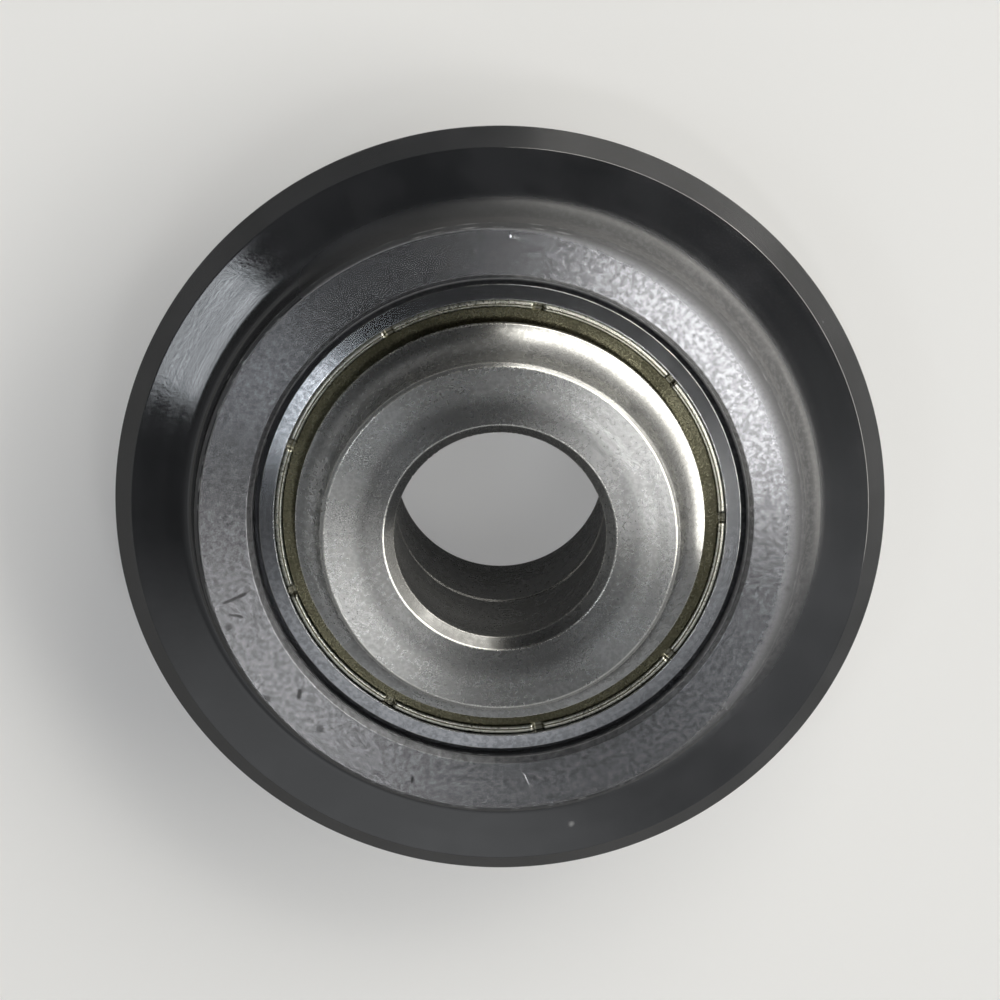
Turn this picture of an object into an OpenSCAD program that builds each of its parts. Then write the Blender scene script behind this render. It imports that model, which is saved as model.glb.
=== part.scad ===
// A scoring wheel for a tile cutter. The bevelled wheel is pressed on a shielded ball bearing,
// and two flanged bushes pressed into the bearing from either side carry it on its axle.
// The origin is the wheel's centre in the plane of the cutting edge, and +Z is the axle's axis.

/* [Cutting wheel] */
// Diameter across the cutting edge
wheel_d = 22; // [21:0.5:30]
// Width of the blunt land along the cutting edge
edge_land_w = 0.06; // [0.02:0.02:0.2]
// Angle between a ground bevel and the wheel's middle plane
bevel_angle = 50; // [40:1:60]
// Thickness of the wheel where the bevels end
bevel_base_w = 1.2; // [0.8:0.1:1.8]
// Slope of the black web as it rises from the bevel to the boss
web_slope = 13; // [6:1:18]
// How much of the disc between its bore and its bevels the boss takes, as a share
boss_share = 0.48; // [0.3:0.01:0.65]
// Width of the boss between its two ground faces
boss_w = 4.4; // [3.8:0.1:5]
// Radius of the fillet between the web and the boss
boss_fillet_r = 0.6; // [0.2:0.05:0.7]
// Edge break around the boss faces
boss_break = 0.1; // [0.05:0.05:0.2]
// Chamfer at both mouths of the wheel's bore
wheel_bore_chamfer = 0.2; // [0.1:0.05:0.3]

/* [Bearing rings] */
// Outer diameter of the bearing
bearing_od = 14; // [13.6:0.2:15]
// Bore of the bearing's inner ring
bearing_bore = 8; // [7.4:0.2:8.2]
// Width of both rings
bearing_w = 4; // [3.6:0.1:4.6]
// Chamfer at the corners of the rings
ring_chamfer = 0.15; // [0.05:0.05:0.25]
// Distance of the rings' shoulders from the ball circle, as a share of a ball's radius
shoulder_share = 0.65; // [0.5:0.01:0.8]
// Gap between a fit's two cylinders, a light press in steel
press_gap = 0.01; // [0:0.005:0.02]

/* [Balls and cage] */
// Number of balls
ball_count = 9; // [6:1:10]
// Diameter of a ball, in thirds of the room between the bearing's cylinders or its shields
ball_thirds = 2; // [1.6:0.05:2.3]
// Running gap between a ball and its races
race_gap = 0.04; // [0.03:0.01:0.08]
// Thickness of the cage's sheet
cage_t = 0.18; // [0.1:0.02:0.24]
// Gap between the cage's ribbon and the shoulders of the rings
cage_gap = 0.2; // [0.1:0.02:0.26]
// Gap between a ball and its pocket
pocket_gap = 0.06; // [0.04:0.01:0.1]
// Size of a clinch tab, across and along the ribbon
tab_size = [0.24, 0.4]; // [0.2:0.02:0.5]
// How far a clinched tab spreads over its slot on each side
tab_spread = 0.12; // [0.08:0.02:0.16]
// Thickness of a clinched tab's folded end
tab_fold_t = 0.1; // [0.06:0.02:0.14]
// Gap around a tab in its slot
tab_gap = 0.03; // [0.02:0.01:0.05]

/* [Shields] */
// Width of the outer ring's plain face around a shield
outer_rim_w = 0.58; // [0.5:0.02:0.64]
// Depth of the recess that holds a shield
recess_depth = 0.5; // [0.4:0.02:0.6]
// How far the snap groove is cut behind the recess
groove_depth = 0.1; // [0.06:0.02:0.12]
// Width of the snap groove
groove_w = 0.2; // [0.14:0.02:0.26]
// Thickness of a shield's sheet
shield_t = 0.15; // [0.1:0.01:0.18]
// Depth of a shield's face below the ring's face
shield_depth = 0.2; // [0.14:0.02:0.26]
// Running gap between a shield's inner edge and the inner ring
shield_gap = 0.25; // [0.1:0.05:0.3]
// Radial width of a shield's crimped lip
lip_w = 0.2; // [0.16:0.02:0.24]
// Depth of the lip's rounded top below the ring's face
lip_depth = 0.07; // [0.03:0.01:0.12]
// Number of slots that part the lip
lip_slot_count = 9; // [6:1:12]
// Width of a slot in the lip
lip_slot_w = 0.3; // [0.2:0.05:0.5]
// Gap between the lip and the recess that holds it
lip_gap = 0.02; // [0.01:0.01:0.04]
// Depth of the step on the inner ring beside a shield
inner_step_depth = 0.1; // [0.05:0.05:0.15]
// Width of that step
inner_step_w = 0.55; // [0.4:0.05:0.6]

/* [Bushes] */
// Bore for the axle
bore_d = 6; // [5:0.1:6.4]
// Width over the two bushes' faces
hub_w = 8; // [7.6:0.1:10]
// Diameter of a collar's flat face
collar_face_d = 10.2; // [9.6:0.1:10.8]
// Radial width of the hollow flare, from a collar's face out to its base
collar_flare_w = 0.72; // [0.4:0.02:1]
// Thickness of the rim around a collar's base
collar_rim_w = 0.18; // [0.1:0.02:0.3]
// Radius of the flare's hollow
collar_flare_r = 1.2; // [1.1:0.05:1.4]
// Edge break around a collar's face
collar_break = 0.1; // [0.05:0.05:0.2]
// Gap between a collar's underside and the bearing's face, outside its seat
collar_relief = 0.12; // [0.08:0.02:0.2]
// Margin between a collar's seat and the edge of the inner ring's face
seat_margin = 0.05; // [0.02:0.01:0.1]
// Chamfer at the bore's two mouths
mouth_chamfer = 0.3; // [0.1:0.05:0.4]
// Chamfer where the two bushes meet, inside and outside
joint_chamfer = 0.1; // [0.05:0.01:0.15]

/* [Hidden] */
$fn = 120;
overcut = 1;

wheel_r = wheel_d / 2;
wheel_bore_r = bearing_od / 2 + press_gap;
bevel_z = bevel_base_w / 2;
bevel_r = wheel_r - (bevel_z - edge_land_w / 2) / tan(bevel_angle);
boss_r = wheel_bore_r + boss_share * (bevel_r - wheel_bore_r);
boss_z = boss_w / 2;
fillet_centre_r = boss_r + boss_fillet_r;
fillet_centre_z = web_z(fillet_centre_r) + boss_fillet_r / cos(web_slope);
fillet_foot_r = fillet_centre_r - boss_fillet_r * sin(web_slope);

ring_r = bearing_od / 2;
ring_z = bearing_w / 2;
ring_bore_r = bearing_bore / 2;
pitch_r = (ring_r + ring_bore_r) / 2;
shield_z = ring_z - shield_depth;
// The balls keep between the ring's two cylinders and between the shields
ball_room = min(ring_r - ring_bore_r, 2 * (shield_z - shield_t));
ball_r = ball_room * ball_thirds / 3 / 2;
race_r = ball_r + race_gap;
shoulder_gap = ball_r * shoulder_share;
outer_shoulder_r = pitch_r + shoulder_gap;
inner_shoulder_r = pitch_r - shoulder_gap;
inner_face_r = inner_shoulder_r - inner_step_depth;

pocket_r = ball_r + pocket_gap;
cage_band_w = 2 * (shoulder_gap - cage_gap);
land_angle = 180 / ball_count;

recess_r = ring_r - outer_rim_w;
groove_r = recess_r + groove_depth;
recess_z = ring_z - recess_depth;
shield_bore_r = inner_face_r + shield_gap;
lip_r = recess_r - lip_gap;
lip_z = ring_z - lip_depth - lip_w / 2;

bore_r = bore_d / 2;
spigot_r = ring_bore_r - press_gap;
hub_z = hub_w / 2;
collar_face_r = collar_face_d / 2;
collar_base_r = collar_face_r + collar_flare_w;
seat_r = inner_face_r - seat_margin;
collar_under_z = ring_z + collar_relief;
collar_rim_z = collar_under_z + collar_rim_w;
// The hollow flare is as tall as its radius makes it, or as the collar leaves room for
flare_full_h = sqrt(collar_flare_w * (2 * collar_flare_r - collar_flare_w));
flare_h = min(flare_full_h, hub_z - collar_break - collar_rim_z);
flare_r = (pow(collar_flare_w, 2) + pow(flare_h, 2)) / (2 * collar_flare_w);
flare_z = collar_rim_z + flare_h;

// Height of the web's face at a radius
function web_z(r) = bevel_z + (bevel_r - r) * tan(web_slope);

// A profile of one side, repeated on the other side of the middle plane
module both_sides() {
    children();
    mirror([0, 1]) children();
}

// A piece that is made for the front, turned over for the back
module turned_over() {
    rotate([180, 0, 0]) children();
}

// One copy for each of count equal steps around the axle
module around(count, first = 0) {
    for (k = [0:count - 1]) rotate(first + k * 360 / count) children();
}

// One side of the wheel: bevel, web, the fillet at the foot of the boss, boss and bore
module wheel_side() {
    difference() {
        polygon([
            [wheel_bore_r, 0],
            [wheel_r, 0],
            [wheel_r, edge_land_w / 2],
            [bevel_r, bevel_z],
            [fillet_foot_r, web_z(fillet_foot_r)],
            [fillet_centre_r, fillet_centre_z],
            [boss_r, fillet_centre_z],
            [boss_r, boss_z - boss_break],
            [boss_r - boss_break, boss_z],
            [wheel_bore_r + wheel_bore_chamfer, boss_z],
            [wheel_bore_r, boss_z - wheel_bore_chamfer],
        ]);
        translate([fillet_centre_r, fillet_centre_z]) circle(boss_fillet_r);
    }
}

module cutting_wheel() {
    color("#3d4245") rotate_extrude() both_sides() wheel_side();
}

// One side of the recess and snap groove that hold a shield
module shield_recess() {
    translate([outer_shoulder_r - overcut, recess_z])
        square([recess_r - outer_shoulder_r + overcut, recess_depth + overcut]);
    translate([outer_shoulder_r - overcut, recess_z])
        square([groove_r - outer_shoulder_r + overcut, groove_w]);
}

module outer_ring() {
    color("#8d9092") rotate_extrude() difference() {
        polygon([
            [outer_shoulder_r, -ring_z],
            [ring_r - ring_chamfer, -ring_z],
            [ring_r, -ring_z + ring_chamfer],
            [ring_r, ring_z - ring_chamfer],
            [ring_r - ring_chamfer, ring_z],
            [outer_shoulder_r, ring_z],
        ]);
        translate([pitch_r, 0]) circle(race_r);
        both_sides() shield_recess();
    }
}

module inner_ring() {
    color("#9a9da0") rotate_extrude() difference() {
        polygon([
            [ring_bore_r + ring_chamfer, -ring_z],
            [inner_shoulder_r, -ring_z],
            [inner_shoulder_r, ring_z],
            [ring_bore_r + ring_chamfer, ring_z],
            [ring_bore_r, ring_z - ring_chamfer],
            [ring_bore_r, -ring_z + ring_chamfer],
        ]);
        translate([pitch_r, 0]) circle(race_r);
        both_sides() translate([inner_face_r, ring_z - inner_step_w])
            square([inner_step_depth + overcut, inner_step_w + overcut]);
    }
}

// Ball k of the row, the first one on +X
module ball(k) {
    color("#c4c7ca") rotate((k - 1) * 360 / ball_count) translate([pitch_r, 0, 0]) sphere(ball_r);
}

// A flat ring as wide as the cage's ribbon
module ribbon(height) {
    rotate_extrude() translate([pitch_r - cage_band_w / 2, 0]) square([cage_band_w, height]);
}

// A round bar across the ribbon at each ball, as wide as the ribbon or wider
module bars(radius) {
    around(ball_count) translate([pitch_r, 0, 0]) rotate([0, 90, 0])
        cylinder(r = radius, h = 2 * cage_band_w, center = true);
}

// Half of the cage: flat lands that meet the other half, and an arched pocket over each ball
module cage_half() {
    difference() {
        union() {
            ribbon(cage_t);
            intersection() {
                ribbon(pocket_r + cage_t + overcut);
                bars(pocket_r + cage_t);
            }
        }
        bars(pocket_r);
    }
}

// The tabs on the lands of the front half, folded over the back half
module clinch_tabs() {
    around(ball_count, land_angle) translate([pitch_r, 0, 0]) {
        translate([-tab_size[0] / 2, -tab_size[1] / 2, -cage_t - tab_fold_t])
            cube([tab_size[0], tab_size[1], cage_t + tab_fold_t + cage_t / 2]);
        translate([-tab_size[0] / 2 - tab_spread, -tab_size[1] / 2, -cage_t - tab_fold_t])
            cube([tab_size[0] + 2 * tab_spread, tab_size[1], tab_fold_t]);
    }
}

// The slots in the lands of the back half that the tabs pass through
module clinch_slots() {
    slot = [tab_size[0] + 2 * tab_gap, tab_size[1] + 2 * tab_gap];
    around(ball_count, land_angle) translate([pitch_r - slot[0] / 2, -slot[1] / 2, -overcut])
        cube([slot[0], slot[1], 2 * overcut]);
}

module cage_front() {
    color("#a8a49a") {
        cage_half();
        clinch_tabs();
    }
}

module cage_back() {
    color("#a8a49a") difference() {
        turned_over() cage_half();
        clinch_slots();
    }
}

// A pressed shield: a flat disc with a crimped lip that snaps into the outer ring's groove
module shield() {
    lip_inner_r = lip_r - lip_w;
    difference() {
        rotate_extrude() {
            translate([shield_bore_r, shield_z - shield_t])
                square([lip_r - lip_w / 2 - shield_bore_r, shield_t]);
            translate([lip_inner_r, recess_z]) square([lip_w, lip_z - recess_z]);
            translate([lip_inner_r + lip_w / 2, lip_z]) circle(lip_w / 2);
            translate([lip_inner_r, recess_z])
                square([groove_r - lip_gap - lip_inner_r, min(shield_t, groove_w - lip_gap)]);
        }
        around(lip_slot_count) translate([lip_inner_r, -lip_slot_w / 2, recess_z - overcut])
            cube([groove_r - lip_inner_r, lip_slot_w, recess_depth + 2 * overcut]);
    }
}

module shield_front() {
    color("#6a6455") shield();
}

module shield_back() {
    color("#6a6455") turned_over() shield();
}

// A flanged bush: a spigot in the inner ring, and a collar that seats on the ring's face
module bush() {
    rotate_extrude() difference() {
        polygon([
            [bore_r + joint_chamfer, 0],
            [spigot_r - joint_chamfer, 0],
            [spigot_r, joint_chamfer],
            [spigot_r, ring_z],
            [seat_r, ring_z],
            [seat_r, collar_under_z],
            [collar_base_r, collar_under_z],
            [collar_base_r, flare_z],
            [collar_face_r, flare_z],
            [collar_face_r, hub_z - collar_break],
            [collar_face_r - collar_break, hub_z],
            [bore_r + mouth_chamfer, hub_z],
            [bore_r, hub_z - mouth_chamfer],
            [bore_r, joint_chamfer],
        ]);
        translate([collar_face_r + flare_r, flare_z]) circle(flare_r);
    }
}

module bush_front() {
    color("#c9c6bd") bush();
}

module bush_back() {
    color("#c9c6bd") turned_over() bush();
}

cutting_wheel();
outer_ring();
inner_ring();
for (k = [1:ball_count]) ball(k);
cage_front();
cage_back();
shield_front();
shield_back();
bush_front();
bush_back();
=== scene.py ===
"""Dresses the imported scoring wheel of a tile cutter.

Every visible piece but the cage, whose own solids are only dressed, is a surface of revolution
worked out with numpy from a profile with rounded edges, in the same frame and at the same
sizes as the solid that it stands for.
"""

import logging
import math
from dataclasses import dataclass
from enum import Enum

import bpy
import numpy as np
from bpy.types import (
    ID, Material, Mesh, Node, NodeOutputs, NodeSocket, NodeTree, Object, World)
from mathutils import Matrix, Vector


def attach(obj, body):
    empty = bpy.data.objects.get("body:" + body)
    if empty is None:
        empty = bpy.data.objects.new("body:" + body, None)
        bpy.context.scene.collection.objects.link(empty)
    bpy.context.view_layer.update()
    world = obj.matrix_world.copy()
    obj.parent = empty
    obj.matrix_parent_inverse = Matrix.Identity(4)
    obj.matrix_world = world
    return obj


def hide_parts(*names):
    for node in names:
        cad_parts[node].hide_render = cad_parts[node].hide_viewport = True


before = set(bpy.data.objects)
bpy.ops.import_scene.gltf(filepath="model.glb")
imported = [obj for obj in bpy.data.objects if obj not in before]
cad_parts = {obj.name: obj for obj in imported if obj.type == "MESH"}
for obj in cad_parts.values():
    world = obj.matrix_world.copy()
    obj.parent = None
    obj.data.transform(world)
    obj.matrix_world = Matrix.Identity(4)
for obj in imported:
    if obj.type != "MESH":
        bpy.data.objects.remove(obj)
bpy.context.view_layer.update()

MM = 0.001
Pair = tuple[float, float]
Triple = tuple[float, float, float]
EDGE_ATTRIBUTE = "edge"
# A corner whose half angle is larger than this stays as it is
STRAIGHT = math.radians(89.0)
# The shares of a side that an arc and a support point may take
ARC_SHARE = 0.45
SUPPORT_SHARE = 0.04

log = logging.getLogger("scoring_wheel")


class Side(Enum):
    """Which face of the wheel a piece lies on: +1 towards +Z, -1 towards -Z."""

    FRONT = 1
    BACK = -1


# Profiles and surfaces of revolution


@dataclass(frozen=True)
class Corner:
    """A corner of a profile, in millimetres, with the radius that rounds it."""

    r: float
    z: float
    round_mm: float = 0.02
    worn: bool = True


def around(steps: int) -> np.ndarray:
    """The angles of equal steps all the way round, in radians."""
    return np.linspace(0.0, math.tau, steps, endpoint=False)


def arc_corners(centre: Pair, radius: float, start: float, end: float, steps: int) -> list[Corner]:
    """Corners along a circular arc, none of them rounded.

    A point at angle a lies at centre + radius * (cos a, sin a).

    Args:
        centre: The arc's centre (r, z) in millimetres.
        radius: The arc's radius in millimetres.
        start: The first angle in degrees.
        end: The last angle in degrees.
        steps: How many corners there are.

    Returns:
        The corners in order.
    """
    turns = np.radians(np.linspace(start, end, steps))
    return [Corner(centre[0] + radius * math.cos(a), centre[1] + radius * math.sin(a), 0.0)
            for a in turns]


def rounded_loop(corners: list[Corner], support: float = 0.012,
                 facet: float = 7.5) -> tuple[np.ndarray, np.ndarray]:
    """A closed profile whose corners are replaced by tangent arcs.

    At a corner with half angle h between its two sides, the arc of radius p touches both
    sides at p / tan(h) from the corner, and its centre lies p / sin(h) along the bisector.
    A support point beside each arc keeps the shading of the straight sides flat.

    Args:
        corners: The corners in order, anticlockwise in the (r, z) plane.
        support: Distance of a support point from its arc, in millimetres.
        facet: Largest turn between two points of an arc, in degrees.

    Returns:
        The points, of shape (n, 2), and for each the share of the edge mark that it takes, 0 or 1:
        wear, and on bare steel also a painted highlight.
    """
    spots = np.array([(c.r, c.z) for c in corners])
    points: list[np.ndarray] = []
    wear: list[np.ndarray] = []
    for k, corner in enumerate(corners):
        here = spots[k]
        back, on = spots[k - 1] - here, spots[(k + 1) % len(spots)] - here
        back_len, on_len = np.linalg.norm(back), np.linalg.norm(on)
        back, on = back / back_len, on / on_len
        half = 0.5 * math.acos(float(np.clip(back @ on, -1.0, 1.0)))
        if corner.round_mm <= 0.0 or half > STRAIGHT:
            points.append(here[None])
            wear.append(np.zeros(1))
            continue
        reach = min(corner.round_mm / math.tan(half), ARC_SHARE * min(back_len, on_len))
        radius = reach * math.tan(half)
        middle = here + (back + on) / np.linalg.norm(back + on) * radius / math.sin(half)
        first, last = here + back * reach - middle, here + on * reach - middle
        turn = math.atan2(first[0] * last[1] - first[1] * last[0], float(first @ last))
        steps = max(3, int(abs(math.degrees(turn)) / facet) + 2)
        angles = math.atan2(first[1], first[0]) + np.linspace(0.0, turn, steps)
        arc = middle + radius * np.stack([np.cos(angles), np.sin(angles)], axis=1)
        before = here + back * (reach + min(support, SUPPORT_SHARE * back_len))
        after = here + on * (reach + min(support, SUPPORT_SHARE * on_len))
        points.append(np.vstack([before, arc, after]))
        convex = turn > 0.0
        wear.append(np.concatenate([[0.0], np.full(steps, float(convex and corner.worn)), [0.0]]))
    return np.vstack(points), np.concatenate(wear)


def subdivided(points: np.ndarray, wear: np.ndarray, longest: float) -> tuple[np.ndarray, np.ndarray]:
    """Adds points to a closed profile so that no side is longer than a limit.

    Args:
        points: The profile, of shape (n, 2), in millimetres.
        wear: One value for each point.
        longest: The longest side that stays, in millimetres.

    Returns:
        The finer profile and its wear, interpolated along each side.
    """
    sides = np.linalg.norm(np.roll(points, -1, axis=0) - points, axis=1)
    cuts = np.maximum(1, np.ceil(sides / longest).astype(int))
    side = np.repeat(np.arange(len(points)), cuts)
    share = np.concatenate([np.arange(c) / c for c in cuts])
    following = (side + 1) % len(points)
    fine = points[side] + (points[following] - points[side]) * share[:, None]
    return fine, wear[side] + (wear[following] - wear[side]) * share


def placed(name: str, data: ID) -> Object:
    """A new object that shows the given data, linked to the scene."""
    made = bpy.data.objects.new(name, data)
    bpy.context.scene.collection.objects.link(made)
    return made


def smooth_mesh(name: str, points: np.ndarray, faces: list | np.ndarray) -> Mesh:
    """A mesh of points in metres, with faces that are all shaded smooth."""
    mesh = bpy.data.meshes.new(name)
    mesh.from_pydata(points, [], faces)
    mesh.polygons.foreach_set("use_smooth", np.ones(len(faces), dtype=bool))
    return mesh


def grid_mesh(name: str, grid: np.ndarray, wear: np.ndarray) -> Object:
    """Makes a closed mesh of a grid that wraps round in both directions.

    Row i of the grid is one step along the profile and column j one step around the axle.
    Each quad runs (i, j), (i, j+1), (i+1, j+1), (i+1, j), which faces away from the metal
    when the profile is anticlockwise.

    Args:
        name: The object's name.
        grid: Points of shape (rows, columns, 3), in metres.
        wear: The edge mark of each row, or of each grid point: wear, and on bare steel also a painted
            highlight.

    Returns:
        The new object, linked to the scene.
    """
    rows, columns = grid.shape[:2]
    i, j = np.meshgrid(np.arange(rows), np.arange(columns), indexing="ij")
    i1, j1 = (i + 1) % rows, (j + 1) % columns
    quads = np.stack([i * columns + j, i * columns + j1, i1 * columns + j1, i1 * columns + j], axis=-1)
    mesh = smooth_mesh(name, grid.reshape(-1, 3), quads.reshape(-1, 4))
    steps = np.linalg.norm(np.roll(grid[:, 0], -1, axis=0) - grid[:, 0], axis=1)
    along = np.concatenate([[0.0], np.cumsum(steps)]) / steps.sum()
    u = np.stack([j, j + 1, j + 1, j], axis=-1) / columns
    v = np.stack([along[i], along[i], along[i + 1], along[i + 1]], axis=-1)
    layer = mesh.uv_layers.new(name="around_and_along")
    layer.data.foreach_set("uv", np.stack([u, v], axis=-1).ravel())
    mark = mesh.attributes.new(EDGE_ATTRIBUTE, "FLOAT", "POINT")
    spread = wear if wear.ndim == 2 else np.repeat(wear[:, None], columns, axis=1)
    mark.data.foreach_set("value", spread.astype(np.float32).ravel())
    mesh.update()
    return placed(name, mesh)


def revolve(name: str, points: np.ndarray, wear: np.ndarray, columns: int) -> Object:
    """Turns a profile about the axle: a point (r, z) sweeps (r cos t, r sin t, z).

    Args:
        name: The object's name.
        points: The closed profile, of shape (n, 2), in millimetres.
        wear: The edge mark of each profile point: wear, and on bare steel also a painted highlight.
        columns: How many steps there are around.

    Returns:
        The new object.
    """
    turn = around(columns)
    r, z = points[:, :1], np.repeat(points[:, 1:], columns, axis=1)
    grid = np.stack([r * np.cos(turn), r * np.sin(turn), z], axis=-1) * MM
    return grid_mesh(name, grid, wear)


def dressed(piece: Object, material: Material, body: str, node: str) -> Object:
    """Dresses a piece and says what it rides on and stands for."""
    piece.data.materials.append(material)
    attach(piece, body)
    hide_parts(node)
    return piece


def mirrored(front: list[Corner]) -> list[Corner]:
    """The mirror images of a front half's corners, in the order that closes the profile."""
    return [Corner(c.r, -c.z, c.round_mm, c.worn) for c in reversed(front)]


# Shader node helpers and shared effects


class Graph:
    """A node tree with short calls that add a node, set its inputs and return an output."""

    def __init__(self, tree: NodeTree) -> None:
        """Keeps the tree that nodes are added to."""
        self.tree = tree

    def add(self, kind: str, inputs: dict | None = None, **settings: object) -> Node:
        """Adds a node.

        Args:
            kind: The node's type name.
            inputs: Values or output sockets for its inputs, by name or number.
            settings: Attributes of the node itself.

        Returns:
            The node.
        """
        node = self.tree.nodes.new(kind)
        for key, value in settings.items():
            setattr(node, key, value)
        for key, value in (inputs or {}).items():
            self.put(value, node.inputs[key])
        return node

    def put(self, value: object, socket: NodeSocket) -> None:
        """Links an output socket to an input, or sets the input's own value."""
        if isinstance(value, NodeSocket):
            self.tree.links.new(value, socket)
        else:
            socket.default_value = value

    def group(self, tree: NodeTree, inputs: dict | None = None) -> NodeOutputs:
        """Adds a shared group, sets its inputs and gives its outputs."""
        return self.add("ShaderNodeGroup", inputs, node_tree=tree).outputs

    def spot(self) -> NodeSocket:
        """The place of the shaded point, in metres in the object's own frame."""
        return self.add("ShaderNodeTexCoord").outputs["Object"]

    def math(self, operation: str, *values: object) -> NodeSocket:
        """The output of a Math node over the given values."""
        node = self.add("ShaderNodeMath", dict(enumerate(values)), operation=operation)
        return node.outputs[0]

    def plus(self, a: object, b: object) -> NodeSocket:
        """The sum of two numbers."""
        return self.math("ADD", a, b)

    def times(self, a: object, b: object) -> NodeSocket:
        """The product of two numbers."""
        return self.math("MULTIPLY", a, b)

    def vector(self, operation: str, *values: object) -> NodeSocket:
        """The output of a Vector Math node: a number for a length or a dot product."""
        node = self.add("ShaderNodeVectorMath", dict(enumerate(values)), operation=operation)
        return node.outputs["Value" if operation in ("LENGTH", "DOT_PRODUCT") else 0]

    def ramp(self, value: object, low: float, high: float,
             out: Pair = (0.0, 1.0)) -> NodeSocket:
        """Maps low..high smoothly onto out, held at both ends."""
        node = self.add("ShaderNodeMapRange", {0: value, 1: low, 2: high, 3: out[0], 4: out[1]},
                        interpolation_type="SMOOTHSTEP")
        return node.outputs[0]

    def mix(self, share: object, a: object, b: object) -> NodeSocket:
        """Mixes two colours by a share."""
        node = self.add("ShaderNodeMix", data_type="RGBA")
        for index, value in zip((0, 6, 7), (share, a, b)):
            self.put((*value, 1.0) if isinstance(value, tuple) else value, node.inputs[index])
        return node.outputs[2]

    def blend(self, share: object, a: object, b: object) -> NodeSocket:
        """Mixes two numbers by a share."""
        node = self.add("ShaderNodeMix", data_type="FLOAT")
        for index, value in zip((0, 2, 3), (share, a, b)):
            self.put(value, node.inputs[index])
        return node.outputs[0]

    def noise(self, vector: object, scale: object, detail: float = 2.0, w: object = None,
              roughness: float = 0.5) -> NodeSocket:
        """A noise value of a vector, in four dimensions where w is given."""
        node = self.add("ShaderNodeTexNoise", noise_dimensions="3D" if w is None else "4D")
        self.put(vector, node.inputs["Vector"])
        self.put(scale, node.inputs["Scale"])
        node.inputs["Detail"].default_value = detail
        node.inputs["Roughness"].default_value = roughness
        if w is not None:
            self.put(w, node.inputs["W"])
        return node.outputs[0]


def new_group(name: str, inputs: dict[str, tuple[str, object]], outputs: dict[str, str]) -> Graph:
    """Starts a shader group with named sockets.

    Args:
        name: The group's name.
        inputs: Socket type and default value, by name.
        outputs: Socket type, by name.

    Returns:
        A graph to fill it with.
    """
    tree = bpy.data.node_groups.new(name, "ShaderNodeTree")
    for label, (kind, value) in inputs.items():
        socket = tree.interface.new_socket(name=label, in_out="INPUT", socket_type=kind)
        socket.default_value = value
    for label, kind in outputs.items():
        tree.interface.new_socket(name=label, in_out="OUTPUT", socket_type=kind)
    return Graph(tree)


FLOAT = "NodeSocketFloat"
VECTOR = "NodeSocketVector"

# Broad rings against fine ones: how many there are, and how often they break
BROAD_LINES = 0.22
BROAD_BREAKS = 0.4
# Where nearly all values of the broad rings and of the grain lie
BROAD_SPAN = (0.3, 0.7)
GRAIN_SPAN = (0.35, 0.65)
# Cells that may hold a speck, to one grain
SPECK_CELLS = 0.3
CLOUDS_PER_MM = 0.5
WEAR_BREAKS_PER_MM = 2.5
NICK_WOBBLES_PER_MM = 2.2
LEAST_RADIUS = 0.01 * MM
QUARTER_TURN = 0.25


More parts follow.
